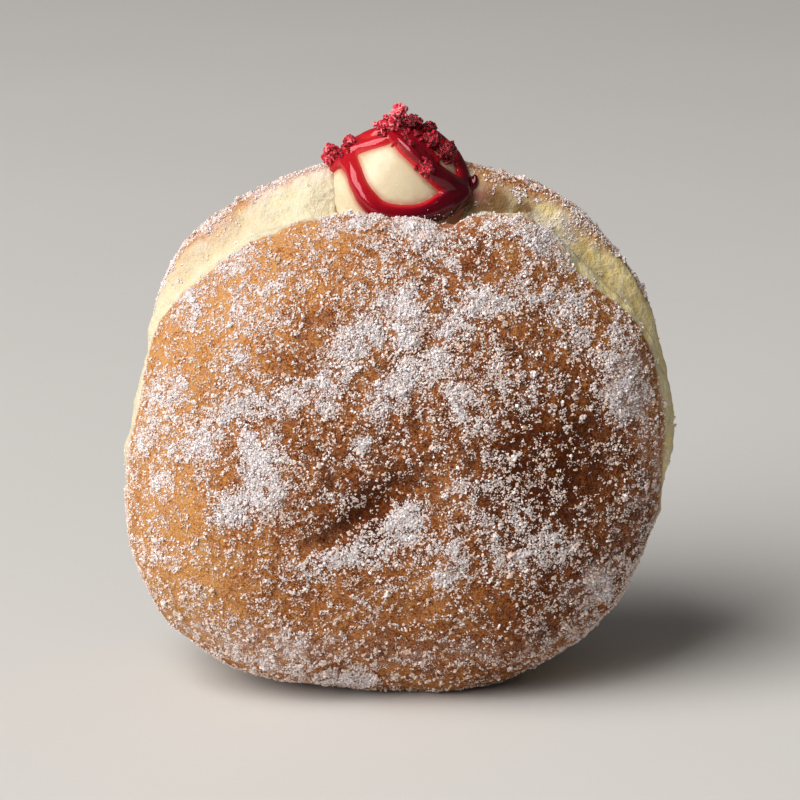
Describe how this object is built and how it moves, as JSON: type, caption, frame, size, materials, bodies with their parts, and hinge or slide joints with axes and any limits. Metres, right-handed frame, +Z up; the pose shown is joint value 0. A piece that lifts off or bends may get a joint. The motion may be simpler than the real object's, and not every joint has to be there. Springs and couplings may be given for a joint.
{
  "type": "filled doughnut",
  "caption": "Sugared filled doughnut standing on its rim, with custard, jam and dried raspberry coming out of a mouth at the top.",
  "frame": {"origin": "on the floor, under the middle of the whole doughnut's box", "axes": "+Z up, the longest extent; +Y along the doughnut's own axis, away from its front face, the shortest extent; +X to the right seen from the front"},
  "size_m": [0.0928, 0.0534, 0.0986],
  "materials": {
    "dough": "fried crust, golden to deep brown, dusted with sugar, with a pale crumb band round the rim",
    "custard": "smooth pale yellow custard, softly translucent",
    "jam": "clear glossy raspberry jam, orange-red where thin and nearly black where thick",
    "raspberry": "crumbly dried raspberry, crimson with paler dusty ridges",
    "sugar": "white sugar crystals"
  },
  "bodies": {
    "root": {"dough": "dough", "custard": "custard", "jam": "jam", "raspberry_front": "raspberry", "raspberry_crown": "raspberry", "raspberry_right": "raspberry", "raspberry_ridge": "raspberry", "raspberry_slope": "raspberry", "raspberry_edge": "raspberry", "raspberry_drop": "raspberry", "raspberry_left": "raspberry", "raspberry_left_top": "raspberry"}
  },
  "joints": []
}
